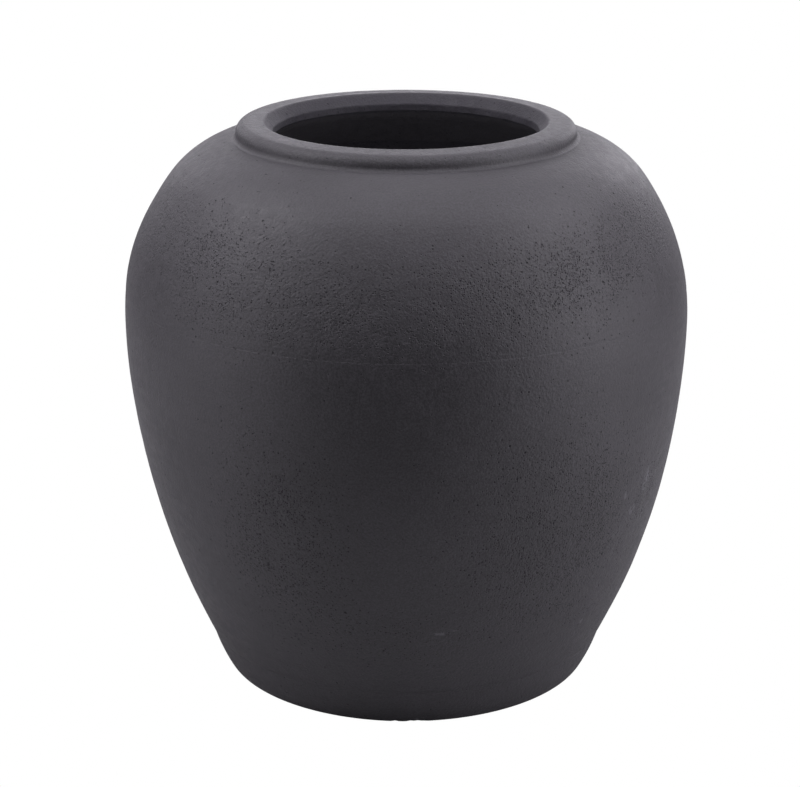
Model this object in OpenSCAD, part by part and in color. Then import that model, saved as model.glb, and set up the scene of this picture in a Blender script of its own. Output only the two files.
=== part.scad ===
// Round-bellied clay pot, built up from luted sections of clay: a slab floor, a foot
// band, a lower wall, a shoulder and a rolled rim, with coils pressed into the joints.
// Millimetres. +Z is up, and the origin is the centre of the base.

/* [Overall] */
// Largest outside diameter, at the belly
pot_d = 300; // [290:1:320]
// Height from the base to the highest point of the rim
pot_h = 301; // [296:1:306]
// Height of the widest place
belly_z = 198; // [195:1:203]

/* [Clay] */
// Thickness of the wall, at right angles to its surface
wall_t = 9; // [7:0.5:10]
// Thickness of the slab floor
floor_t = 11; // [9:0.5:14]

/* [Foot] */
// Outside diameter at the corner between foot and wall
foot_d = 215; // [208:1:218]
// Height of that corner
foot_h = 21.8; // [20:0.2:24]
// Lean of the foot's surface from upright, just below the corner
foot_lean = 17; // [14:0.5:20]
// Radius of the foot's bulge, seen in section
foot_arc = 91; // [80:1:110]
// Radius of the rounded edge that the pot stands on
base_round = 7; // [5:0.5:8]
// How far the slab's edge slopes in from its top to its underside
slab_bevel = 10; // [6:1:12]

/* [Body curve] */
// Radius of the curve just below the belly, seen in section
belly_arc = 300; // [285:5:330]
// Height where that curve eases into the straighter side
side_top_z = 170; // [162:1:178]
// Radius of the shoulder, seen in section
shoulder_arc = 121.5; // [118:0.5:124]
// Height where the shoulder tightens towards the neck
neck_turn_z = 270.5; // [268:0.5:272.5]

/* [Rim] */
// Diameter of the mouth
mouth_d = 140; // [134:1:142]
// Outside diameter of the rolled rim
roll_d = 179.2; // [177:0.2:182]
// Radius of the roll's outer edge
roll_round = 5.5; // [5:0.1:5.9]
// Height of the mouth's straight throat
throat_h = 3.4; // [2.6:0.2:4]
// How far the mouth flares from the throat to its inner edge
lip_flare = 4.2; // [3.4:0.1:4.6]
// Radius of that edge
lip_round = 1.6; // [1.2:0.1:2]
// How far the rim's top falls towards its outer edge
rim_fall = 0.9; // [0.6:0.1:1.2]
// Height of the rim above the edge of the shoulder that it sits on
rim_h = 9; // [8.8:0.1:9.2]
// Radius of the hollow under the roll, for each millimetre of the hollow's height
groove_ratio = 1.08; // [1.06:0.01:1.3]
// How far the shoulder's edge stands back from the mouth
edge_set_back = 5; // [4:0.5:6]
// Slope of the shoulder's cut edge under the rim, from level
edge_slope = 32; // [28:1:36]

/* [Joint at the waist] */
// Height of the joint between lower wall and shoulder
waist_z = 217; // [214:0.5:220]
// Width of the strip pressed into the joint, at the surface
strip_w = 9; // [7:0.5:12]
// Depth of that strip
strip_deep = 5; // [4:0.5:6]
// Width of the strip at its root
strip_root = 3; // [2:0.5:4]
// How far the sealing coil inside stands out from the wall
coil_proud = 3.5; // [2.5:0.5:5]
// Radius of that coil's face, seen in section
coil_round = 19; // [15:1:25]

/* [Sealing coils] */
// Leg of the coil pressed into the corner round the floor
corner_leg = 10; // [9:0.5:13]
// How far the coil under the rim stands back from the mouth
smear_set_back = 2.5; // [2:0.5:3]
// Length of the shoulder's cut edge that this coil is smeared over
smear_len = 16; // [14:0.5:17]
// How far its face bulges
smear_bulge = 1.5; // [1:0.1:2]

/* [Hidden] */
$fn = 256;

// How far a cutting outline reaches past the clay
reach = 40;
// Each curve stands out past the one before by this much, so that the two truly cross
lift = 0.02;
// Overlap of neighbouring stretches of wall, shorter than the stretch where they cross
lap = 0.5;

// Point of the circle round c at height z, on its outer side
function at_height(c, r, z) = [c[0] + sqrt(r * r - (z - c[1]) * (z - c[1])), z];
// Radius of the circle that leaves p at right angles to n and passes through q
function radius_through(p, n, q) = -(q - p) * (q - p) / (2 * (q - p) * n);
// The direction n turned a quarter turn anticlockwise
function quarter(n) = [-n[1], n[0]];
// The point q moved on past p by a share of their distance
function past(p, q, share) = q + share * (q - p);

belly_r = pot_d / 2;
mouth_r = mouth_d / 2;
roll_r = roll_d / 2;
seat_z = pot_h - rim_h;

// Rim: a throat that flares up to the inner edge, a straight top, a roll, and the groove
throat_p = [mouth_r, seat_z + throat_h];
lip_c = [mouth_r + lip_flare + lip_round, pot_h - lip_round];
flare = lip_c - throat_p;
flare_tilt = atan2(flare[1], flare[0]) + asin(lip_round / norm(flare));
flare_n = quarter([cos(flare_tilt), sin(flare_tilt)]);
roll_c = [roll_r - roll_round, pot_h - rim_fall - roll_round];
span = roll_c - lip_c;
top_tilt = atan2(span[1], span[0]) + asin((roll_round - lip_round) / norm(span));
top_n = quarter([cos(top_tilt), sin(top_tilt)]);
groove_h = roll_c[1] - seat_z;
groove_round = groove_ratio * groove_h;
groove_c = [roll_r + groove_round - lift, roll_c[1]];
groove_end = [groove_c[0] - sqrt(pow(groove_round, 2) - pow(groove_h, 2)), seat_z];

// Body: four curves from the foot's corner to the groove, each tighter than the last
foot_p = [foot_d / 2, foot_h];
belly_p = [belly_r, belly_z];
belly_c = belly_p - [belly_arc, 0];
side_p = at_height(belly_c, belly_arc, side_top_z);
side_n = (side_p - belly_c) / belly_arc;
side_arc = radius_through(side_p - lift * side_n, side_n, foot_p);
side_c = side_p - (side_arc + lift) * side_n;
shoulder_c = belly_p - [shoulder_arc - lift, 0];
neck_p = at_height(shoulder_c, shoulder_arc, neck_turn_z);
neck_n = (neck_p - shoulder_c) / shoulder_arc;
neck_arc = radius_through(neck_p + lift * neck_n, neck_n, groove_end);
neck_c = neck_p - (neck_arc - lift) * neck_n;
neck_top = neck_c + neck_arc * [-0.3, 1];

// Each curve of the body: centre, radius, and where it begins and ends
CURVES = [
    [side_c, side_arc, at_height(side_c, side_arc, 0), side_p],
    [belly_c, belly_arc, side_p, belly_p],
    [shoulder_c, shoulder_arc, belly_p, neck_p],
    [neck_c, neck_arc, neck_p, neck_top]
];

// Foot: a bulge that ends in the corner above, and a rounded edge below
foot_c = foot_p - foot_arc * [cos(foot_lean), -sin(foot_lean)];
base_c = at_height(foot_c, foot_arc - base_round + lift, base_round);
base_p = past(foot_c, base_c, base_round / foot_arc);

// Joint between foot and wall: a slope from the inside corner up to the outside corner
corner_p = at_height(side_c, side_arc - wall_t, floor_t);
slab_r = corner_p[0] - slab_bevel;
slope_in = past(foot_p, corner_p, 0.5);
slope_out = past(corner_p, foot_p, 0.5);

// Joint at the waist: a groove outside and a flat land inside it
root_r = belly_r - strip_deep;
root_low = [root_r, waist_z - strip_root / 2];
root_high = [root_r, waist_z + strip_root / 2];
strip_low = past(root_low, at_height(shoulder_c, shoulder_arc, waist_z - strip_w / 2), 1);
strip_high = past(root_high, at_height(shoulder_c, shoulder_arc, waist_z + strip_w / 2), 1);
inside_waist = at_height(shoulder_c, shoulder_arc - wall_t, waist_z);

// Cut edge of the shoulder under the rim, and the coil smeared over it
edge_p = [mouth_r + edge_set_back, seat_z];
edge_far = edge_p + reach * [cos(edge_slope), -sin(edge_slope)];
smear_low = edge_p + smear_len * [cos(edge_slope), -sin(edge_slope)];
smear_top = [mouth_r + smear_set_back, seat_z];
smear_chord = smear_low - smear_top;
smear_round = pow(norm(smear_chord), 2) / (8 * smear_bulge) + smear_bulge / 2;
smear_c = (smear_low + smear_top) / 2
    + (smear_round - smear_bulge) * quarter(smear_chord) / norm(smear_chord);

// Inside of body curve i, or of its inner face when inset is the wall's thickness
module curve(i, inset) {
    intersection_for(j = [max(i - 1, 0) : i])
        translate(CURVES[j][0]) circle(CURVES[j][1] - inset);
}

// The wall along body curves first to last
module wall(first, last) {
    for (i = [first : last]) {
        c = CURVES[i][0];
        low = CURVES[i][2] - c;
        high = CURVES[i][3] - c;
        intersection() {
            difference() {
                curve(i, 0);
                curve(i, wall_t);
            }
            polygon([
                c,
                c + 1.5 * low - lap * quarter(low) / norm(low),
                c + 1.5 * high + lap * quarter(high) / norm(high)
            ]);
        }
    }
}

// Outline of the foot, from the axis to its surface
module foot_outline() {
    intersection() {
        translate(foot_c) circle(foot_arc);
        translate([0, base_p[1]]) square([belly_r, 2 * foot_h]);
    }
    intersection() {
        translate(foot_c) circle(foot_arc);
        translate(base_c) circle(base_round);
    }
    square([base_c[0], base_round]);
}

module floor_slab() {
    color([0.17, 0.17, 0.18])
        rotate_extrude()
            polygon([[0, 0], [slab_r, 0], corner_p, [0, floor_t]]);
}

module foot_band() {
    color([0.20, 0.20, 0.22])
        rotate_extrude()
            intersection() {
                foot_outline();
                polygon([
                    [slab_r, 0], [belly_r, 0], [belly_r, slope_out[1]], slope_out, corner_p
                ]);
            }
}

module floor_coil() {
    inner = [corner_p[0] - corner_leg, floor_t];
    wall_end = at_height(side_c, side_arc - wall_t, floor_t + corner_leg);
    outer = past(inner, wall_end, 0.5);
    color([0.10, 0.10, 0.11])
        rotate_extrude()
            intersection() {
                translate(side_c) circle(side_arc - wall_t);
                polygon([inner, [outer[0], floor_t], outer]);
            }
}

module lower_wall() {
    color([0.19, 0.18, 0.20])
        rotate_extrude()
            intersection() {
                wall(0, 2);
                polygon([
                    slope_in, slope_out, [belly_r + reach, slope_out[1]],
                    [belly_r + reach, strip_low[1]], strip_low, root_low,
                    [root_r, waist_z], [slope_in[0], waist_z]
                ]);
            }
}

module waist_strip() {
    color([0.21, 0.21, 0.23])
        rotate_extrude()
            intersection() {
                curve(2, 0);
                polygon([root_low, strip_low, strip_high, root_high]);
            }
}

module waist_coil() {
    color([0.10, 0.10, 0.11])
        rotate_extrude()
            intersection() {
                curve(2, wall_t);
                translate(inside_waist + [coil_round - coil_proud, 0]) circle(coil_round);
            }
}

module shoulder_wall() {
    color([0.25, 0.25, 0.27])
        rotate_extrude()
            intersection() {
                wall(2, 3);
                polygon([
                    [mouth_r, waist_z], [root_r, waist_z], root_high, strip_high,
                    [belly_r + reach, strip_high[1]], [belly_r + reach, seat_z],
                    edge_p, edge_far, [mouth_r, edge_far[1]]
                ]);
            }
}

module rim_collar() {
    color([0.30, 0.30, 0.32])
        rotate_extrude()
            intersection() {
                translate([mouth_r, seat_z]) square([reach, reach]);
                difference() {
                    union() {
                        translate(lip_c) circle(lip_round);
                        translate(roll_c) circle(roll_round);
                        polygon([
                            [mouth_r, seat_z - 1], throat_p, lip_c + lip_round * flare_n,
                            lip_c, lip_c + lip_round * top_n, roll_c + roll_round * top_n,
                            roll_c, [groove_c[0], roll_c[1]], [groove_c[0], seat_z - 1]
                        ]);
                    }
                    translate(groove_c) circle(groove_round);
                }
            }
}

module neck_coil() {
    color([0.12, 0.12, 0.13])
        rotate_extrude()
            intersection() {
                translate(smear_c) circle(smear_round);
                polygon([smear_top - [1, 0], edge_p, edge_far, [mouth_r, edge_far[1]]]);
            }
}

floor_slab();
foot_band();
floor_coil();
lower_wall();
waist_strip();
waist_coil();
shoulder_wall();
rim_collar();
neck_coil();
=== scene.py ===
"""Black clay pot: nine sections of clay luted together, wiped by hand and smoke-fired.

Each section is a revolved mesh that follows its CAD solid. One field of small shifts, a
function of place alone, works the clay by hand, so that neighbours keep sharing their edges.
"""

import itertools
import math

import bmesh
import bpy
import numpy as np
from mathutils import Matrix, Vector


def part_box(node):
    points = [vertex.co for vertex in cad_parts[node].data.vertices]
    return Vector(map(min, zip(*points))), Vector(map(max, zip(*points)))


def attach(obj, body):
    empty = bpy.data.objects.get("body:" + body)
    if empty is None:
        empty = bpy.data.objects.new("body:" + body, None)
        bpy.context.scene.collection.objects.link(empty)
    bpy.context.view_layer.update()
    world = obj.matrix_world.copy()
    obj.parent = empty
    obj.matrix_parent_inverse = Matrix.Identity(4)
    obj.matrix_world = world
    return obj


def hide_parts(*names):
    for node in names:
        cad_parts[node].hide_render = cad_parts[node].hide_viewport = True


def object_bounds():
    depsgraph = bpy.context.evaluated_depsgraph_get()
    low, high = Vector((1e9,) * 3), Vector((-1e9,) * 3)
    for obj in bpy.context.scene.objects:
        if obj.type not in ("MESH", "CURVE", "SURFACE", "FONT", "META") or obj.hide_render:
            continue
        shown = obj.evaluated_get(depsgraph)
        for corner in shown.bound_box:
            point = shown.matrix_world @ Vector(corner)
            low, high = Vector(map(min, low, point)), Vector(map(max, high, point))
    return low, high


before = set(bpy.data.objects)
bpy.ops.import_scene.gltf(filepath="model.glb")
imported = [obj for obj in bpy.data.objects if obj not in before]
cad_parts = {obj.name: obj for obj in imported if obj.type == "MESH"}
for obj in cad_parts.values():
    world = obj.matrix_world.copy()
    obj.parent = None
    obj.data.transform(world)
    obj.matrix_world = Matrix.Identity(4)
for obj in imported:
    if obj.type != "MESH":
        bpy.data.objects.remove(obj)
CAD_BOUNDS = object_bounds()
MM = 0.001

# ---------------------------------------------------------------- sizes, in metres
POT_R = min(CAD_BOUNDS[1][:2])
POT_H = CAD_BOUNDS[1][2]
FLOOR_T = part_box("floor_slab")[1][2]
FOOT_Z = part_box("foot_band")[1][2]
FOOT_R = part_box("foot_band")[1][0]
SEAT_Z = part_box("rim_collar")[0][2]
ROLL_R = 89.6 * MM
STRIP_LOW_Z, STRIP_HIGH_Z = (corner[2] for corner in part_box("waist_strip"))
WAIST_Z = (STRIP_LOW_Z + STRIP_HIGH_Z) / 2
WALL = 9 * MM
BELLY_Z = 198 * MM
BELLY_ARC = 300 * MM
SIDE_TOP_Z = 170 * MM
SHOULDER_ARC = 121.5 * MM
NECK_TURN_Z = 270.5 * MM
FOOT_ARC = 91 * MM
FOOT_LEAN = math.radians(17)
BASE_ROUND = 7 * MM
SLAB_BEVEL = 10 * MM
MOUTH_R = 70 * MM
ROLL_ROUND = 5.5 * MM
LIP_ROUND = 1.6 * MM
LIP_FLARE = 4.2 * MM
THROAT_H = 3.4 * MM
RIM_FALL = 0.9 * MM
GROOVE_RATIO = 1.08
STRIP_DEEP = 5 * MM
STRIP_ROOT = 3 * MM
COIL_PROUD = 3.5 * MM
COIL_ROUND = 19 * MM
CORNER_LEG = 10 * MM
EDGE_SET_BACK = 5 * MM
EDGE_SLOPE = math.radians(32)
SMEAR_SET_BACK = 2.5 * MM
SMEAR_LEN = 16 * MM
SMEAR_BULGE = 1.5 * MM

RIM_LIFT = 0.75 * MM
RIM_HIGH_AT = math.radians(125)

COLUMNS = 600
SKIN_STEP = 1.8 * MM
INNER_STEP = 7 * MM
JOINT_STEP = 2.5 * MM


# ---------------------------------------------------------------- sections
def at_height(c, r, z):
    """Point of the circle round c at height z, on its outer side."""
    return np.array([c[0] + math.sqrt(r * r - (z - c[1]) ** 2), z])


def radius_through(p, n, q):
    """Radius of the circle that leaves p at right angles to n and passes through q."""
    return -(q - p) @ (q - p) / (2 * (q - p) @ n)


def along(p, q, step):
    """Points from p up to q, without q."""
    p, q = np.asarray(p, float), np.asarray(q, float)
    count = max(1, round(float(np.linalg.norm(q - p)) / step))
    return [p + (q - p) * k / count for k in range(count)]


def bent(c, r, p, q, step):
    """Points of the circle round c from p the shorter way to q, without q."""
    a = math.atan2(p[1] - c[1], p[0] - c[0])
    b = math.atan2(q[1] - c[1], q[0] - c[0])
    turn = (b - a + math.pi) % (2 * math.pi) - math.pi
    count = max(1, round(abs(turn) * r / step))
    angles = (a + turn * k / count for k in range(count))
    return [np.array([c[0] + r * math.cos(t), c[1] + r * math.sin(t)]) for t in angles]


THROAT_P = np.array([MOUTH_R, SEAT_Z + THROAT_H])
LIP_C = np.array([MOUTH_R + LIP_FLARE + LIP_ROUND, POT_H - LIP_ROUND])
FLARE = LIP_C - THROAT_P
FLARE_TILT = math.atan2(FLARE[1], FLARE[0]) + math.asin(LIP_ROUND / np.linalg.norm(FLARE))
FLARE_N = np.array([-math.sin(FLARE_TILT), math.cos(FLARE_TILT)])
ROLL_C = np.array([ROLL_R - ROLL_ROUND, POT_H - RIM_FALL - ROLL_ROUND])
SPAN = ROLL_C - LIP_C
TOP_TILT = math.atan2(SPAN[1], SPAN[0]) + math.asin((ROLL_ROUND - LIP_ROUND) / np.linalg.norm(SPAN))
TOP_N = np.array([-math.sin(TOP_TILT), math.cos(TOP_TILT)])
GROOVE_H = ROLL_C[1] - SEAT_Z
GROOVE_ROUND = GROOVE_RATIO * GROOVE_H
GROOVE_C = np.array([ROLL_R + GROOVE_ROUND, ROLL_C[1]])
GROOVE_END = np.array([GROOVE_C[0] - math.sqrt(GROOVE_ROUND ** 2 - GROOVE_H ** 2), SEAT_Z])

FOOT_P = np.array([FOOT_R, FOOT_Z])
BELLY_P = np.array([POT_R, BELLY_Z])
BELLY_C = BELLY_P - [BELLY_ARC, 0]
SIDE_P = at_height(BELLY_C, BELLY_ARC, SIDE_TOP_Z)
SIDE_N = (SIDE_P - BELLY_C) / BELLY_ARC
SIDE_ARC = radius_through(SIDE_P, SIDE_N, FOOT_P)
SIDE_C = SIDE_P - SIDE_ARC * SIDE_N
SHOULDER_C = BELLY_P - [SHOULDER_ARC, 0]
NECK_P = at_height(SHOULDER_C, SHOULDER_ARC, NECK_TURN_Z)
NECK_N = (NECK_P - SHOULDER_C) / SHOULDER_ARC
NECK_ARC = radius_through(NECK_P, NECK_N, GROOVE_END)
NECK_C = NECK_P - NECK_ARC * NECK_N
BODY = [
    (SIDE_C, SIDE_ARC, FOOT_P, SIDE_P),
    (BELLY_C, BELLY_ARC, SIDE_P, BELLY_P),
    (SHOULDER_C, SHOULDER_ARC, BELLY_P, NECK_P),
    (NECK_C, NECK_ARC, NECK_P, GROOVE_END),
]

FOOT_C = FOOT_P - FOOT_ARC * np.array([math.cos(FOOT_LEAN), -math.sin(FOOT_LEAN)])
BASE_C = at_height(FOOT_C, FOOT_ARC - BASE_ROUND, BASE_ROUND)
BASE_P = FOOT_C + (BASE_C - FOOT_C) * FOOT_ARC / (FOOT_ARC - BASE_ROUND)
CORNER_P = at_height(SIDE_C, SIDE_ARC - WALL, FLOOR_T)
SLAB_R = CORNER_P[0] - SLAB_BEVEL
ROOT_R = POT_R - STRIP_DEEP
ROOT_LOW = np.array([ROOT_R, WAIST_Z - STRIP_ROOT / 2])
ROOT_HIGH = np.array([ROOT_R, WAIST_Z + STRIP_ROOT / 2])
STRIP_LOW = at_height(SHOULDER_C, SHOULDER_ARC, STRIP_LOW_Z)
STRIP_HIGH = at_height(SHOULDER_C, SHOULDER_ARC, STRIP_HIGH_Z)
INSIDE_WAIST = at_height(SHOULDER_C, SHOULDER_ARC - WALL, WAIST_Z)
EDGE_P = np.array([MOUTH_R + EDGE_SET_BACK, SEAT_Z])
EDGE_DIR = np.array([math.cos(EDGE_SLOPE), -math.sin(EDGE_SLOPE)])
SMEAR_LOW = EDGE_P + SMEAR_LEN * EDGE_DIR
SMEAR_TOP = np.array([MOUTH_R + SMEAR_SET_BACK, SEAT_Z])


def body_arc(z):
    """The body curve that holds height z."""
    return next((arc for arc in BODY if z <= arc[3][1] + 1e-9), BODY[-1])


def surface(z, inset=0.0):
    """Point of the body's surface, or of the wall's inner face, at height z."""
    for c, r, low, high in BODY:
        point = at_height(c, r - inset, z)
        if point[1] <= (c + (high - c) * (r - inset) / r)[1] + 1e-9:
            return point
    return point


def skin(z0, z1, step, inset=0.0):
    """Points of the body's surface from height z0 to z1, without the last."""
    out, up = [], z1 > z0
    for c, r, low, high in BODY if up else BODY[::-1]:
        low, high = (c + (p - c) * (r - inset) / r for p in (low, high))
        a, b = max(low[1], min(z0, z1)), min(high[1], max(z0, z1))
        if c is SIDE_C:
            a = min(z0, z1)
        if b - a > 1e-7:
            ends = [at_height(c, r - inset, a), at_height(c, r - inset, b)]
            out += bent(c, r - inset, *(ends if up else ends[::-1]), step)
    return out


def cut_edge():
    """Where the shoulder's cut edge leaves its inner face."""
    c, r = NECK_C, NECK_ARC - WALL
    to = EDGE_P - c
    b = to @ EDGE_DIR
    return EDGE_P + (-b + math.sqrt(b * b - to @ to + r * r)) * EDGE_DIR


def chord_circle(p, q, bulge, side):
    """Circle through p and q that bulges by that much, away from its centre."""
    chord = q - p
    length = float(np.linalg.norm(chord))
    r = length ** 2 / (8 * bulge) + bulge / 2
    return (p + q) / 2 + side * (r - bulge) * np.array([-chord[1], chord[0]]) / length, r


def sections():
    """Each node's closed outline in the (radius, height) plane, anticlockwise."""
    fine = 0.4 * MM
    out = {}
    out["floor_slab"] = (
        along((0, 0), (SLAB_R, 0), INNER_STEP)
        + along((SLAB_R, 0), CORNER_P, JOINT_STEP)
        + along(CORNER_P, (0, FLOOR_T), 2.5 * MM)
        + [np.array([0.0, FLOOR_T])]
    )
    out["foot_band"] = (
        along((SLAB_R, 0), (BASE_C[0], 0), 1.5 * MM)
        + bent(BASE_C, BASE_ROUND, (BASE_C[0], 0), BASE_P, 0.8 * MM)
        + bent(FOOT_C, FOOT_ARC, BASE_P, FOOT_P, 1.0 * MM)
        + along(FOOT_P, CORNER_P, JOINT_STEP)
        + along(CORNER_P, (SLAB_R, 0), JOINT_STEP)
    )
    inner = np.array([CORNER_P[0] - CORNER_LEG, FLOOR_T])
    wall_end = surface(FLOOR_T + CORNER_LEG, WALL)
    out["floor_coil"] = (
        along(inner, CORNER_P, JOINT_STEP)
        + skin(FLOOR_T, wall_end[1], JOINT_STEP, WALL)
        + along(wall_end, inner, 1.2 * MM)
    )
    inside = skin(WAIST_Z, FLOOR_T, INNER_STEP, WALL)
    out["lower_wall"] = (
        along(CORNER_P, FOOT_P, JOINT_STEP)
        + skin(FOOT_Z, STRIP_LOW_Z - 4 * MM, SKIN_STEP)
        + skin(STRIP_LOW_Z - 4 * MM, STRIP_LOW_Z - 1.5 * MM, 2 * fine)
        + skin(STRIP_LOW_Z - 1.5 * MM, STRIP_LOW_Z, fine)
        + along(STRIP_LOW, ROOT_LOW, JOINT_STEP)
        + along(ROOT_LOW, (ROOT_R, WAIST_Z), JOINT_STEP)
        + along((ROOT_R, WAIST_Z), INSIDE_WAIST, JOINT_STEP)
        + inside
    )
    out["waist_strip"] = (
        along(ROOT_LOW, STRIP_LOW, JOINT_STEP)
        + skin(STRIP_LOW_Z, STRIP_LOW_Z + 2 * MM, fine)
        + skin(STRIP_LOW_Z + 2 * MM, STRIP_HIGH_Z - 2 * MM, 2 * fine)
        + skin(STRIP_HIGH_Z - 2 * MM, STRIP_HIGH_Z, fine)
        + along(STRIP_HIGH, ROOT_HIGH, JOINT_STEP)
        + along(ROOT_HIGH, ROOT_LOW, JOINT_STEP)
    )
    coil_c = INSIDE_WAIST + [COIL_ROUND - COIL_PROUD, 0]
    # Where the coil's round face meets the wall's inner face
    gap = coil_c - SHOULDER_C
    dist = float(np.linalg.norm(gap))
    inner_r = SHOULDER_ARC - WALL
    reach = (inner_r ** 2 - COIL_ROUND ** 2 + dist ** 2) / (2 * dist)
    rise = math.sqrt(inner_r ** 2 - reach ** 2)
    ahead = gap / dist
    aside = np.array([-ahead[1], ahead[0]])
    low, high = (SHOULDER_C + reach * ahead + s * rise * aside for s in (-1, 1))
    face = coil_c - [COIL_ROUND, 0]
    out["waist_coil"] = (
        bent(SHOULDER_C, inner_r, low, high, JOINT_STEP)
        + bent(coil_c, COIL_ROUND, high, face, 1.2 * MM)
        + bent(coil_c, COIL_ROUND, face, low, 1.2 * MM)
    )
    cut = cut_edge()
    out["shoulder_wall"] = (
        along(INSIDE_WAIST, (ROOT_R, WAIST_Z), JOINT_STEP)
        + along((ROOT_R, WAIST_Z), ROOT_HIGH, JOINT_STEP)
        + along(ROOT_HIGH, STRIP_HIGH, JOINT_STEP)
        + skin(STRIP_HIGH_Z, STRIP_HIGH_Z + 1.5 * MM, fine)
        + skin(STRIP_HIGH_Z + 1.5 * MM, STRIP_HIGH_Z + 4 * MM, 2 * fine)
        + skin(STRIP_HIGH_Z + 4 * MM, SEAT_Z, 1.5 * MM)
        + along(GROOVE_END, EDGE_P, JOINT_STEP)
        + along(EDGE_P, cut, JOINT_STEP)
        + skin(cut[1], WAIST_Z, 5 * MM, WALL)
    )
    turn = GROOVE_C - [GROOVE_ROUND, 0]
    out["rim_collar"] = (
        along((MOUTH_R, SEAT_Z), GROOVE_END, JOINT_STEP)
        + bent(GROOVE_C, GROOVE_ROUND, GROOVE_END, turn, 0.5 * MM)
        + bent(ROLL_C, ROLL_ROUND, turn, ROLL_C + [ROLL_ROUND * 0.7, ROLL_ROUND * 0.714], 0.8 * MM)
        + bent(
            ROLL_C, ROLL_ROUND, ROLL_C + [ROLL_ROUND * 0.7, ROLL_ROUND * 0.714],
            ROLL_C + ROLL_ROUND * TOP_N, 0.8 * MM,
        )
        + along(ROLL_C + ROLL_ROUND * TOP_N, LIP_C + LIP_ROUND * TOP_N, 1.0 * MM)
        + bent(LIP_C, LIP_ROUND, LIP_C + LIP_ROUND * TOP_N, LIP_C + LIP_ROUND * FLARE_N, fine)
        + along(LIP_C + LIP_ROUND * FLARE_N, THROAT_P, 0.7 * MM)
        + along(THROAT_P, (MOUTH_R, SEAT_Z), 0.7 * MM)
    )
    smear_c, smear_r = chord_circle(SMEAR_TOP, SMEAR_LOW, SMEAR_BULGE, 1)
    out["neck_coil"] = (
        bent(smear_c, smear_r, SMEAR_TOP, SMEAR_LOW, 0.9 * MM)
        + along(SMEAR_LOW, EDGE_P, JOINT_STEP)
        + along(EDGE_P, SMEAR_TOP, JOINT_STEP)
    )
    return {name: np.array(points) for name, points in out.items()}


# ---------------------------------------------------------------- the hand's work
def lattice(cells, seed):
    """A number from -1 to 1 for each whole-numbered cell."""
    h = cells[..., 0] * 374761393 + cells[..., 1] * 668265263 + cells[..., 2] * 2147483647
    h = (h + seed * 1274126177) & 0xFFFFFFFF
    h = ((h ^ (h >> 13)) * 1103515245) & 0xFFFFFFFF
    h = ((h ^ (h >> 16)) * 2246822519) & 0xFFFFFFFF
    return ((h ^ (h >> 15)) & 0xFFFF) / 32767.5 - 1


def noise(points, size, seed):
    """Smooth noise from -1 to 1 that changes over lengths of about size."""
    q = points / np.asarray(size, float)
    cell = np.floor(q).astype(np.int64)
    f = q - cell
    f = f * f * f * (f * (f * 6 - 15) + 10)
    total = np.zeros(q.shape[:-1])
    for corner in itertools.product((0, 1), repeat=3):
        share = np.prod(np.where(np.array(corner) == 1, f, 1 - f), axis=-1)
        total += share * lattice(cell + np.array(corner), seed)
    return total


def ease(x, a, b):
    """0 below a, 1 above b, smooth between."""
    t = np.clip((x - a) / (b - a), 0, 1)
    return t * t * (3 - 2 * t)


def bell(x, width):
    return np.exp(-(x / width) ** 2)


def out_direction(z):
    """The way out of the body at each height, turning smoothly from foot to rim."""
    heights = np.linspace(0, SEAT_Z, 120)
    normals = []
    for h in heights:
        if h < FOOT_Z:
            c = FOOT_C
            p = at_height(FOOT_C, FOOT_ARC, h)
        else:
            p = surface(h)
            c = body_arc(h)[0]
        n = (p - c) / np.linalg.norm(p - c)
        normals.append(n)
    normals = np.array(normals)
    nr = np.interp(z, heights, normals[:, 0])
    nz = np.interp(z, heights, normals[:, 1])
    return nr, nz


# Where the hand-built body stands out from a true round or falls inside it: angle,
# height, half-widths in angle and height, and amount; degrees and millimetres
BULGES = [
    (0, 88, 40, 55, 1.2), (0, 52, 40, 18, 0.35), (0, 275, 40, 13, 0.55),
    (180, 226, 45, 22, 0.7), (180, 262, 40, 14, -0.3),
]

# Where the skin is sandy and pitted: angle, height, half-widths, strength; degrees and
# millimetres. The front comes first.
PATCHES = [
    (-117, 112, 13, 48, 1.0), (-57, 112, 20, 50, 1.0), (-90, 60, 16, 16, 0.35),
    (-122, 238, 22, 22, 0.6), (-92, 236, 18, 20, 0.6), (-62, 244, 24, 20, 0.75),
    (-30, 255, 22, 16, 0.6), (-150, 256, 22, 18, 0.6), (-28, 118, 7, 12, 0.8),
    (20, 88, 18, 34, 0.8), (58, 128, 16, 44, 0.9), (98, 84, 20, 34, 0.8),
    (141, 118, 18, 42, 0.9), (-178, 86, 15, 34, 0.6), (38, 244, 26, 18, 0.7),
    (96, 238, 24, 22, 0.9), (150, 248, 26, 18, 0.7),
]

# Single pits: angle, height, radius, depth; degrees and millimetres
PITS = [
    (-122.8, 235, 1.9, 0.55), (-121.4, 236.4, 1.5, 0.4), (-124.6, 234, 1.4, 0.35),
    (-63.4, 236, 1.9, 0.5), (-61.6, 237.2, 1.5, 0.4), (-65.1, 234.8, 1.5, 0.35),
    (-98.9, 238.5, 1.7, 0.5), (-56.0, 81.5, 1.8, 0.5), (-54.6, 84, 1.6, 0.45),
    (-57.8, 79, 1.7, 0.45), (-59.5, 77, 1.5, 0.4), (-53.2, 82.2, 1.6, 0.4),
    (-69.2, 196.2, 1.5, 0.35), (-74.5, 197.1, 1.5, 0.35), (-101.6, 14, 1.5, 0.3),
]
# Chips along the bottom edge: angle, height, radius, depth
CHIPS = [
    (-93.5, 1.0, 1.8, 0.5), (-88.6, 1.6, 2.4, 0.8), (-86.4, 1.2, 2.2, 0.7),
    (-84.6, 1.8, 1.9, 0.6), (37, 1.4, 2.6, 0.8), (121, 1.2, 2.2, 0.7), (163, 1.6, 2.4, 0.7),
]
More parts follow.
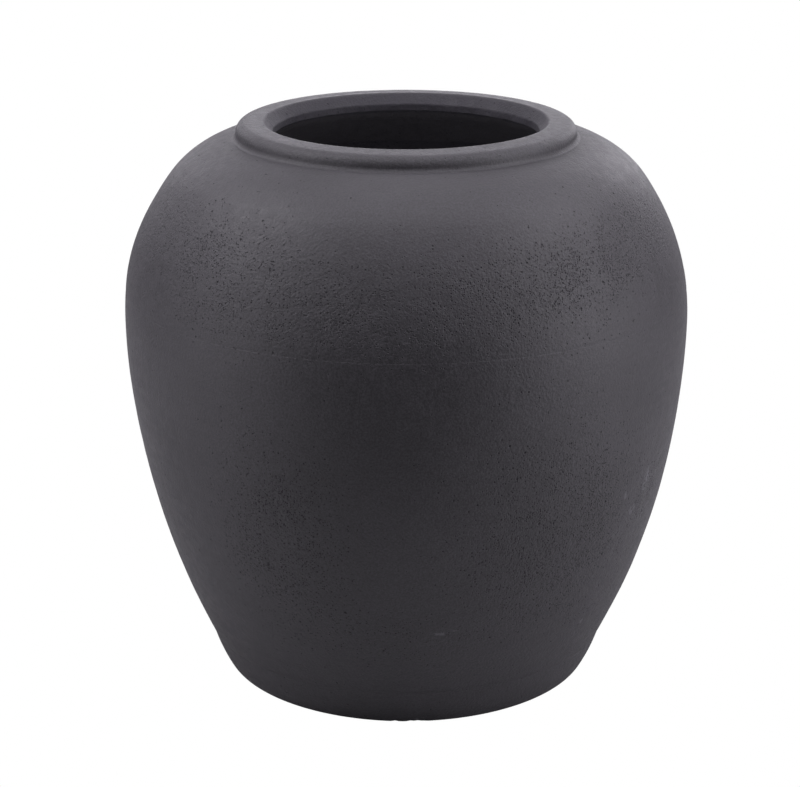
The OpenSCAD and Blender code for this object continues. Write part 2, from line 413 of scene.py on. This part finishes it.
# Rubbed light marks: angle, height, half-widths along and up; degrees and millimetres
SCUFFS = [
    (-86.6, 2.6, 2.2, 1.5), (-84.6, 3.8, 1.0, 0.9), (-93.4, 2.2, 0.8, 1.2),
    (-81.9, 61.8, 5.5, 1.1), (-79.5, 63.4, 3.5, 0.8), (-40.2, 49.3, 1.3, 2.0),
    (-37.8, 123.3, 1.6, 2.6), (-29.5, 126, 4.0, 8.0), (-33.5, 112, 3.0, 4.0),
    (66, 72, 6.0, 1.2), (131, 154, 4.0, 1.5),
]


def facing(theta, angle):
    """Degrees from that angle."""
    return (np.degrees(theta) - angle + 180) % 360 - 180


def sandy(theta, z, p):
    """How sandy the skin is, 0 to 1."""
    total = 0.0
    for angle, height, wide, tall, strength in PATCHES:
        spot = (facing(theta, angle) / wide) ** 2 + ((z - height * MM) / (tall * MM)) ** 2
        total = total + strength * np.exp(-spot ** 1.5)
    broken = 0.65 + 0.35 * noise(p, 0.016, 61) + 0.3 * noise(p, 0.006, 62)
    return np.clip(total, 0, 1) * np.clip(broken, 0, 1)


def dents(theta, z, r, spots):
    """Depth of the single pits at each place."""
    total = np.zeros_like(z)
    for angle, height, wide, deep in spots:
        across = np.radians(facing(theta, angle)) * r
        total += deep * np.exp(-(across ** 2 + (z - height * MM) ** 2) / (wide * MM * 0.7) ** 2)
    return total * MM


def bulges(theta, z):
    """How far the body stands out from a true round, in millimetres."""
    total = np.zeros_like(z)
    for angle, height, wide, tall, amount in BULGES:
        total += amount * bell(facing(theta, angle), wide) * bell(z - height * MM, tall * MM)
    return total


def outer_line():
    """Points along the outer skin, from the resting face to the rim's seat."""
    foot = bent(FOOT_C, FOOT_ARC, BASE_P, FOOT_P, 0.7 * MM)
    base = bent(BASE_C, BASE_ROUND, (BASE_C[0], 0), BASE_P, 0.7 * MM)
    return np.array(base + foot + skin(FOOT_Z, SEAT_Z, 0.7 * MM))


def inner_line():
    """Points along the inner skin, from the floor to the shoulder's cut edge."""
    return np.array(skin(FLOOR_T, cut_edge()[1], 0.7 * MM, WALL))


def nearness(points, line, fade):
    """1 on the line, falling to 0 at that distance from it."""
    d = np.min(np.linalg.norm(points[:, None, :] - line[None, :, :], axis=2), axis=1)
    return 1 - ease(d, 0.4 * MM, fade)


def worked(name, section):
    """The section turned round the axis and worked by hand, as (rows, columns, 3).

    With it come two masks, one number to a point: how sandy it is, and how far it is inside; the
    second darkens the colour as painted shade.
    """
    theta = np.arange(COLUMNS) * 2 * math.pi / COLUMNS
    r = section[:, :1] + 0 * theta
    z = section[:, 1:] + 0 * theta
    c, s = np.cos(theta)[None, :], np.sin(theta)[None, :]
    p = np.stack([r * c, r * s, z], axis=-1)
    nr, nz = out_direction(section[:, 1])
    w_out = nearness(section, outer_line(), 4 * MM)[:, None]
    w_in = nearness(section, inner_line(), 4 * MM)[:, None]
    rim = ease(section[:, 1], SEAT_Z - 3 * MM, SEAT_Z)[:, None]
    base = ease(section[:, 1], 1.5 * MM, 6 * MM)[:, None]

    # Outer surface: out of round, lumps, lines left by the wiping cloth, scraping marks
    low = 0.16 * noise(p, 0.09, 11) + 0.09 * noise(p, 0.035, 12) + bulges(theta, z)
    lumps = 0.04 * noise(p, 0.013, 13) + 0.02 * noise(p, 0.006, 24)
    wiped = bell(z - 200 * MM, 16 * MM) + 0.5 * (1 - ease(z, 18 * MM, 40 * MM))
    lines = (0.002 + 0.005 * wiped) * noise(p, (0.05, 0.05, 0.0035), 14)
    scraped = bell(z - 188 * MM, 14 * MM) * ease(noise(p, 0.03, 15), -0.2, 0.5)
    around = np.stack([r * c / (2.6 * MM), r * s / (2.6 * MM), z / (16 * MM)], axis=-1)
    marks = -0.06 * scraped * ease(noise(around, 1.0, 16), 0.15, 0.6)
    # Waist: a thin seam that comes and goes, and a strip that the cloth left uneven
    wander = 0.8 * noise(p, (0.03, 0.03, 1), 17) + 0.4 * noise(p, (0.008, 0.008, 1), 18)
    seam_z = STRIP_LOW_Z + wander * MM
    show = 0.1 + 0.9 * ease(noise(p, (0.05, 0.05, 1), 19) + 0.15 * c - 0.3 * s, 0.1, 0.7)
    seam = -0.08 * show * bell(z - seam_z, 1.3 * MM)
    upper_z = STRIP_HIGH_Z + (3.0 + 2.5 * noise(p, (0.045, 0.045, 1), 20)) * MM
    step = 0.12 * ease(z, seam_z, seam_z + 1.5 * MM) * (1 - ease(z, upper_z - 2 * MM, upper_z))
    # Foot: the crease is softer on one side
    crease = -0.08 * bell(z - FOOT_Z - 0.6 * MM, 1.4 * MM) * (0.6 + 0.4 * c)
    grit = sandy(theta, z, p)
    grain = 0.10 * noise(p, 0.0045, 25) - 0.12 * ease(noise(p, 0.0036, 26), 0.2, 0.8)
    gritty = (0.25 + grit) * grain
    d_out = (low + lumps + lines + marks + seam + step + crease + gritty) * MM
    d_out = d_out - dents(theta, z, r, PITS)
    # The belly keeps inside the pot's widest measure
    belly = bell(z - BELLY_Z, 24 * MM)
    d_out = np.where(d_out > 0, d_out * (1 - belly), d_out)
    d_out = d_out * (1 - rim) * base
    if name == "foot_band":
        d_out = d_out - dents(theta, z, r, CHIPS)

    # Inside: the coils were pressed by hand and not wiped
    d_in = (0.5 * noise(p, 0.05, 21) + 0.35 * noise(p, (0.015, 0.015, 0.02), 22)) * MM
    shift = w_out * d_out + w_in * d_in
    dr, dz = shift * nr[:, None], shift * nz[:, None]

    if name in ("rim_collar", "neck_coil"):
        dr, dz = rim_work(name, section, p, c, s)
    if name in ("floor_coil", "waist_coil"):
        face = np.clip(1 - w_in, 0, 1)
        dr = dr - face * (0.5 * noise(p, 0.02, 31) + 0.3 * noise(p, 0.007, 32)) * 0.8 * MM
    if name == "floor_slab":
        top = (section[:, 1] > FLOOR_T - 1e-6)[:, None] * ease(r, 2 * MM, 12 * MM)
        dr = 0
        dz = -top * (1 - ease(r, 70 * MM, 82 * MM)) * (0.5 + 0.5 * noise(p, 0.03, 33)) * 0.9 * MM
    r2, z2 = r + dr, z + dz
    r2 = np.minimum(r2, POT_R)
    z2 = np.clip(z2, 0, POT_H)
    # The inside mask paints shade. It darkens the colour inside the pot, and at 0.8 on the rim's
    # inner band.
    inside = np.clip(w_in - w_out, 0, 1) + 0 * r
    if name in ("floor_slab", "floor_coil", "waist_coil"):
        inside = 1 + 0 * r
    if name in ("rim_collar", "neck_coil"):
        flare = MOUTH_R + LIP_FLARE
        inside = 0.8 * (1 - ease(section[:, :1], flare - 0.5 * MM, flare + 1.5 * MM)) + 0 * r
    return np.stack([r2 * c, r2 * s, z2], axis=-1), grit, inside


def rim_work(name, section, p, c, s):
    """Shifts of the rolled rim and of the coil under it."""
    z = p[..., 2]
    middle = np.array([(MOUTH_R + ROLL_R) / 2, SEAT_Z + 3 * MM])
    away = section - middle
    away = away / np.maximum(np.linalg.norm(away, axis=1), 1e-6)[:, None]
    if name == "neck_coil":
        joint = nearness(section, np.array(along(SMEAR_TOP, EDGE_P, 0.5 * MM)
                                           + along(EDGE_P, SMEAR_LOW, 0.5 * MM)), 1.5 * MM)
        w = (1 - joint)[:, None]
        d = w * (0.5 * noise(p, 0.012, 41) + 0.4 * noise(p, 0.005, 42)) * MM
        return -d * 0.5, -d * 0.86
    seat = ease(section[:, 1], SEAT_Z + 0.3 * MM, SEAT_Z + 2.5 * MM)[:, None]
    flare = MOUTH_R + LIP_FLARE
    inner = (1 - ease(section[:, 0], flare, flare + 1.5 * MM))[:, None]
    d = 0.10 * noise(p, 0.05, 43) + 0.06 * noise(p, 0.014, 44)
    d = d + 0.02 * noise(p, (0.03, 0.03, 0.0016), 45)
    # The inner band was pulled down over the joint and left lumpy at its lower edge
    lumpy = 1 - ease(z, SEAT_Z + 1 * MM, SEAT_Z + 7 * MM)
    d_in = lumpy * (0.45 * noise(p, (0.012, 0.012, 0.01), 46) + 0.25 * noise(p, 0.005, 47))
    outer = (1 - inner) * seat
    shift = (d - 0.1) * outer * MM + inner * (d * 0.6 + d_in) * MM
    dr = shift * away[:, :1]
    dz = shift * away[:, 1:] * outer
    # The roll stands a little higher at the back
    crest = ease(section[:, 0], flare + 2 * MM, ROLL_R - 6 * MM)[:, None] * seat
    lift = 0.5 + 0.5 * (s * math.sin(RIM_HIGH_AT) + c * math.cos(RIM_HIGH_AT))
    return dr, dz + RIM_LIFT * lift * crest


# ---------------------------------------------------------------- meshes
def lathe(name, section):
    """A closed mesh of the worked section. Ends on the axis become single points."""
    grid, grit, inside = worked(name, section)
    rows = len(section)
    poles = {k for k in range(rows) if section[k, 0] < 1e-9}
    verts, used, index = [], [], np.zeros((rows, COLUMNS), int)
    count = 0
    for k in range(rows):
        if k in poles:
            verts.append(grid[k].mean(axis=0)[None])
            index[k] = count
            used.append((grit[k, :1], inside[k, :1]))
            count += 1
        else:
            verts.append(grid[k])
            used.append((grit[k], inside[k]))
            index[k] = count + np.arange(COLUMNS)
            count += COLUMNS
    verts = np.concatenate(verts)
    faces = []
    for k in range(rows):
        j = (k + 1) % rows
        a, b = index[k], index[j]
        if k in poles and j in poles:
            continue
        a2, b2 = np.roll(a, -1), np.roll(b, -1)
        if k in poles:
            faces += list(zip(a, b2, b))
        elif j in poles:
            faces += list(zip(a, a2, b))
        else:
            faces += list(zip(a, a2, b2, b))
    mesh = bpy.data.meshes.new(name)
    mesh.from_pydata(verts.tolist(), [], [tuple(int(v) for v in f) for f in faces])
    mesh.update()
    # The inside mask darkens the colour in the material as painted shade.
    for k, mask in enumerate(("sandy", "inside")):
        layer = mesh.attributes.new(mask, "FLOAT", "POINT")
        layer.data.foreach_set("value", np.concatenate([u[k] for u in used]).astype(np.float32))
    mesh.shade_smooth()
    mesh.set_sharp_from_angle(angle=math.radians(50))
    return mesh


# ---------------------------------------------------------------- materials
class Nodes:
    """A short way to write shader nodes."""

    def __init__(self, material):
        material.use_nodes = True
        self.tree = material.node_tree
        self.tree.nodes.clear()

    def put(self, socket, value):
        if isinstance(value, bpy.types.NodeSocket):
            self.tree.links.new(value, socket)
        elif value is not None:
            socket.default_value = value

    def node(self, kind, *inputs, **settings):
        made = self.tree.nodes.new(kind)
        for key, value in settings.items():
            setattr(made, key, value)
        for socket, value in zip(made.inputs, inputs):
            self.put(socket, value)
        return made

    def math(self, operation, *inputs, clamp=False):
        made = self.node("ShaderNodeMath", *inputs, operation=operation, use_clamp=clamp)
        return made.outputs[0]

    def mix(self, share, a, b):
        made = self.tree.nodes.new("ShaderNodeMix")
        made.data_type = "RGBA"
        self.put(made.inputs[0], share)
        self.put(made.inputs[6], a)
        self.put(made.inputs[7], b)
        return made.outputs[2]

    def ramp(self, value, a, b, low=0.0, high=1.0):
        made = self.tree.nodes.new("ShaderNodeMapRange")
        made.interpolation_type = "SMOOTHSTEP"
        for socket, v in zip(made.inputs, (value, a, b, low, high)):
            self.put(socket, v)
        return made.outputs[0]

    def stretched(self, place, scale):
        made = self.node("ShaderNodeVectorMath", place, scale, operation="MULTIPLY")
        return made.outputs[0]

    def noise(self, place, scale, detail=2.0, rough=0.5):
        made = self.tree.nodes.new("ShaderNodeTexNoise")
        self.put(made.inputs["Vector"], place)
        self.put(made.inputs["Scale"], scale)
        self.put(made.inputs["Detail"], detail)
        self.put(made.inputs["Roughness"], rough)
        return made.outputs[0]

    def cells(self, place, scale):
        made = self.tree.nodes.new("ShaderNodeTexVoronoi")
        self.put(made.inputs["Vector"], place)
        self.put(made.inputs["Scale"], scale)
        return made.outputs["Distance"], made.outputs["Color"]


def on_surface(angle, height):
    """Place on the body's skin at that angle and height, and the direction round it."""
    r = surface(height * MM)[0]
    a = math.radians(angle)
    return (r * math.cos(a), r * math.sin(a), height * MM), (-math.sin(a), math.cos(a), 0.0)


def scuffed(n, place):
    """The rubbed light marks, 0 to 1."""
    marks = 0.0
    ragged = n.noise(place, 420, 2, 0.6)
    for angle, height, wide, tall in SCUFFS:
        spot, way = on_surface(angle, height)
        gap = n.node("ShaderNodeVectorMath", place, spot, operation="SUBTRACT").outputs[0]
        across = n.node("ShaderNodeVectorMath", gap, way, operation="DOT_PRODUCT").outputs[1]
        up = n.node("ShaderNodeSeparateXYZ", gap).outputs[2]
        deep = n.node("ShaderNodeVectorMath", gap, operation="LENGTH").outputs[1]
        one = n.math("POWER", n.math("DIVIDE", across, wide * MM), 2.0)
        two = n.math("POWER", n.math("DIVIDE", up, tall * MM), 2.0)
        near = n.math("LESS_THAN", deep, 0.03)
        mark = n.math("MULTIPLY", n.ramp(n.math("ADD", one, two), 1.3, 0.0), near)
        marks = n.math("MAXIMUM", marks, mark)
    return n.math("MULTIPLY", marks, n.ramp(ragged, 0.4, 0.6))


# Linear colours: the fired skin, the painted shade inside the pot, the shade in a pit, a rubbed
# mark
DARK, LIGHT = (0.026, 0.0245, 0.0275, 1), (0.036, 0.034, 0.038, 1)
INSIDE_SHADE_DARK, INSIDE_SHADE_LIGHT = (0.013, 0.0115, 0.0165, 1), (0.018, 0.016, 0.022, 1)
PIT_SHADE = (0.004, 0.004, 0.005, 1)
RUBBED = (0.11, 0.11, 0.12, 1)
CLAY_IOR = 1.45
# Layers of small pits: cells to the metre, radius in cells, share of cells that hold one
PIT_LAYERS = ((1000, 0.46, 0.9), (560, 0.36, 0.6), (260, 0.22, 0.3), (95, 0.10, 0.12))


def clay(name, rough, grain, pitted):
    """Smoke-fired clay: cloudy charcoal, fine grain, small pits and wiping lines."""
    material = bpy.data.materials.new(name)
    n = Nodes(material)
    place = n.node("ShaderNodeTexCoord").outputs["Object"]
    zone = n.node("ShaderNodeAttribute", attribute_name="sandy").outputs["Fac"]
    inside = n.node("ShaderNodeAttribute", attribute_name="inside").outputs["Fac"]

    cloudy = n.noise(place, 14, 3, 0.55)
    blotch = n.noise(place, 190, 3, 0.6)
    fine = n.noise(place, 1100, 2, 0.6)
    lines = n.noise(n.stretched(place, (18, 18, 420)), 1, 3, 0.6)

    pits = 0.0
    for scale, radius, share in PIT_LAYERS:
        distance, colour = n.cells(place, scale)
        pick = n.node("ShaderNodeSeparateColor", colour).outputs[0]
        here = n.math("LESS_THAN", pick, n.math("MULTIPLY_ADD", zone, share * pitted, 0.01))
        pit = n.math("MULTIPLY", n.ramp(distance, radius, radius * 0.3), here)
        pits = n.math("MAXIMUM", pits, pit)

    tone = n.math("ADD", n.math("MULTIPLY", cloudy, 0.5), n.math("MULTIPLY", blotch, 0.5))
    colour = n.mix(n.ramp(tone, 0.32, 0.68), DARK, LIGHT)
    # Painted shade: the colour turns darker inside the pot and on the rim's inner band.
    colour = n.mix(inside, colour, n.mix(blotch, INSIDE_SHADE_DARK, INSIDE_SHADE_LIGHT))
    grainy = n.node("ShaderNodeVectorMath", colour, operation="SCALE")
    n.put(grainy.inputs["Scale"], n.ramp(fine, 0.32, 0.68, 0.70, 1.30))
    colour = n.mix(n.math("MULTIPLY", pits, 0.7), grainy.outputs[0], PIT_SHADE)
    marks = scuffed(n, place)
    colour = n.mix(n.math("MULTIPLY", marks, 0.55), colour, RUBBED)

    wiped = n.ramp(lines, 0.3, 0.7, -0.015, 0.015)
    roughness = n.math("ADD", wiped, n.ramp(blotch, 0.3, 0.7, rough - 0.06, rough + 0.04))
    roughness = n.math("ADD", roughness, n.ramp(fine, 0.3, 0.7, -0.05, 0.05))
    roughness = n.math("ADD", roughness, n.math("MULTIPLY", pits, 0.4))
    roughness = n.math("ADD", roughness, n.math("MULTIPLY", inside, 0.15), clamp=True)

    coarse = n.math("MULTIPLY_ADD", zone, 0.44 * grain, 0.24 * grain)
    height = n.math("MULTIPLY", n.noise(place, 760, 3, 0.6), coarse)
    height = n.math("ADD", height, n.math("MULTIPLY", blotch, 0.12 * grain))
    height = n.math("ADD", height, n.math("MULTIPLY", lines, 0.01))
    height = n.math("SUBTRACT", height, n.math("MULTIPLY", pits, 0.32))
    bump = n.tree.nodes.new("ShaderNodeBump")
    n.put(bump.inputs["Strength"], 1.0)
    n.put(bump.inputs["Distance"], 1.0 * MM)
    n.put(bump.inputs["Height"], height)

    shader = n.tree.nodes.new("ShaderNodeBsdfPrincipled")
    n.put(shader.inputs["Base Color"], colour)
    n.put(shader.inputs["Roughness"], roughness)
    n.put(shader.inputs["Normal"], bump.outputs[0])
    shader.inputs["IOR"].default_value = CLAY_IOR
    out = n.tree.nodes.new("ShaderNodeOutputMaterial")
    n.tree.links.new(shader.outputs[0], out.inputs[0])
    return material


def pale(name):
    """Floor paper: plain white to the camera. What it gives back to the pot is dimmer, and
    dimmer still from a strip in front, as from a photographer's black flag."""
    material = bpy.data.materials.new(name)
    n = Nodes(material)
    place = n.node("ShaderNodeTexCoord").outputs["Object"]
    x, y, _ = n.node("ShaderNodeSeparateXYZ", place).outputs
    strip = n.ramp(n.math("ABSOLUTE", x), 0.55, 0.25)
    ahead = n.math("MULTIPLY", strip, n.ramp(y, -0.25, -0.45))
    share = n.mix(ahead, (0.46, 0.46, 0.46, 1), (0.12, 0.12, 0.12, 1))
    paper = n.node("ShaderNodeBsdfDiffuse", share).outputs[0]
    glow = n.node("ShaderNodeEmission", (1, 1, 1, 1), 1.0).outputs[0]
    looked_at = n.node("ShaderNodeLightPath").outputs["Is Camera Ray"]
    both = n.node("ShaderNodeMixShader", looked_at, paper, glow).outputs[0]
    out = n.tree.nodes.new("ShaderNodeOutputMaterial")
    n.tree.links.new(both, out.inputs[0])
    return material


# ---------------------------------------------------------------- scene
SLOTS = {
    "clay_body": ("foot_band", "lower_wall", "waist_strip", "shoulder_wall"),
    "clay_rim": ("rim_collar",),
    "clay_inside": ("floor_coil", "waist_coil", "neck_coil"),
    "clay_base": ("floor_slab",),
}
FINISH = {
    "clay_body": dict(rough=0.60, grain=1.0, pitted=1.0),
    "clay_rim": dict(rough=0.62, grain=1.2, pitted=0.7),
    "clay_inside": dict(rough=0.70, grain=1.6, pitted=0.8),
    "clay_base": dict(rough=0.70, grain=1.6, pitted=0.8),
}


def build_pot():
    outlines = sections()
    for slot, names in SLOTS.items():
        material = clay(slot, **FINISH[slot])
        for name in names:
            mesh = lathe(name, outlines[name])
            mesh.materials.append(material)
            piece = bpy.data.objects.new("clay_" + name, mesh)
            bpy.context.collection.objects.link(piece)
            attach(piece, "root")
            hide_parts(name)


def build_floor():
    bm = bmesh.new()
    bmesh.ops.create_circle(bm, cap_ends=True, segments=96, radius=9.0)
    mesh = bpy.data.meshes.new("floor")
    bm.to_mesh(mesh)
    bm.free()
    floor = bpy.data.objects.new("floor", mesh)
    mesh.materials.append(pale("floor_paper"))
    bpy.context.collection.objects.link(floor)
    floor.location.z = -0.0002


def build_camera():
    data = bpy.data.cameras.new("camera")
    data.sensor_width = 36.0
    data.lens = 108.15
    data.shift_x = -0.0079
    data.clip_end = 50
    camera = bpy.data.objects.new("camera", data)
    bpy.context.collection.objects.link(camera)
    aim = Vector((0, 0, 0.15))
    distance, elevation = 1.305, math.radians(17.8)
    camera.location = aim + distance * Vector((0, -math.cos(elevation), math.sin(elevation)))
    camera.rotation_euler = (aim - camera.location).to_track_quat("-Z", "Y").to_euler()
    bpy.context.scene.camera = camera


# Soft panels that the camera doesn't see: place, aim, size, power; metres and watts. The
# last is a small fill that stands inside the pot, which would be nearly black without it.
PANELS = {
    "low_right": ((0.893, -0.325, 0.46), (0, 0, 0.46), (0.45, 0.9), 6.75),
    "low_left": ((-0.893, -0.325, 0.46), (0, 0, 0.46), (0.45, 0.9), 3.7),
    "high_right": ((0.9, 0, 1.15), (0, 0, 0.2), (0.6, 0.5), 9.2),
    "high_left": ((-0.9, 0, 1.15), (0, 0, 0.2), (0.6, 0.5), 12.3),
    "top_back": ((0, 0.5, 1.25), (0, 0.5, 0), (0.5, 0.5), 3.8),
    "top_front": ((0, -0.4, 1.25), (0, -0.4, 0), (0.5, 0.5), 5.45),
    "back_right": ((0.8, 1.386, 0.75), (0, 0, 0.2), (0.6, 0.9), 8.4),
    "back": ((0, 1.6, 0.75), (0, 0, 0.2), (0.6, 0.9), 6.0),
    "back_left": ((-0.8, 1.386, 0.75), (0, 0, 0.2), (0.6, 0.9), 4.5),
    "inner_fill": ((0, -0.02, 0.13), (0, 0.01, 0.3), (0.1, 0.1), 0.085),
}


def build_light():
    for name, (place, aim, size, power) in PANELS.items():
        data = bpy.data.lights.new(name, "AREA")
        data.shape = "RECTANGLE"
        data.size, data.size_y = size
        data.energy = power
        data.color = (1.0, 0.972, 1.045)
        light = bpy.data.objects.new(name, data)
        light.location = place
        light.rotation_euler = (Vector(aim) - Vector(place)).to_track_quat("-Z", "Y").to_euler()
        light.visible_camera = False
        bpy.context.collection.objects.link(light)
    world = bpy.data.worlds.new("world")
    bpy.context.scene.world = world
    n = Nodes(world)
    looked_at = n.node("ShaderNodeLightPath").outputs["Is Camera Ray"]
    dim = n.node("ShaderNodeBackground", (0.02, 0.02, 0.02, 1), 1.0).outputs[0]
    white = n.node("ShaderNodeBackground", (1, 1, 1, 1), 1.0).outputs[0]
    both = n.node("ShaderNodeMixShader", looked_at, dim, white).outputs[0]
    out = n.tree.nodes.new("ShaderNodeOutputWorld")
    n.tree.links.new(both, out.inputs[0])
    bpy.context.scene.view_settings.view_transform = "Standard"


build_floor()
build_camera()
build_light()
build_pot()
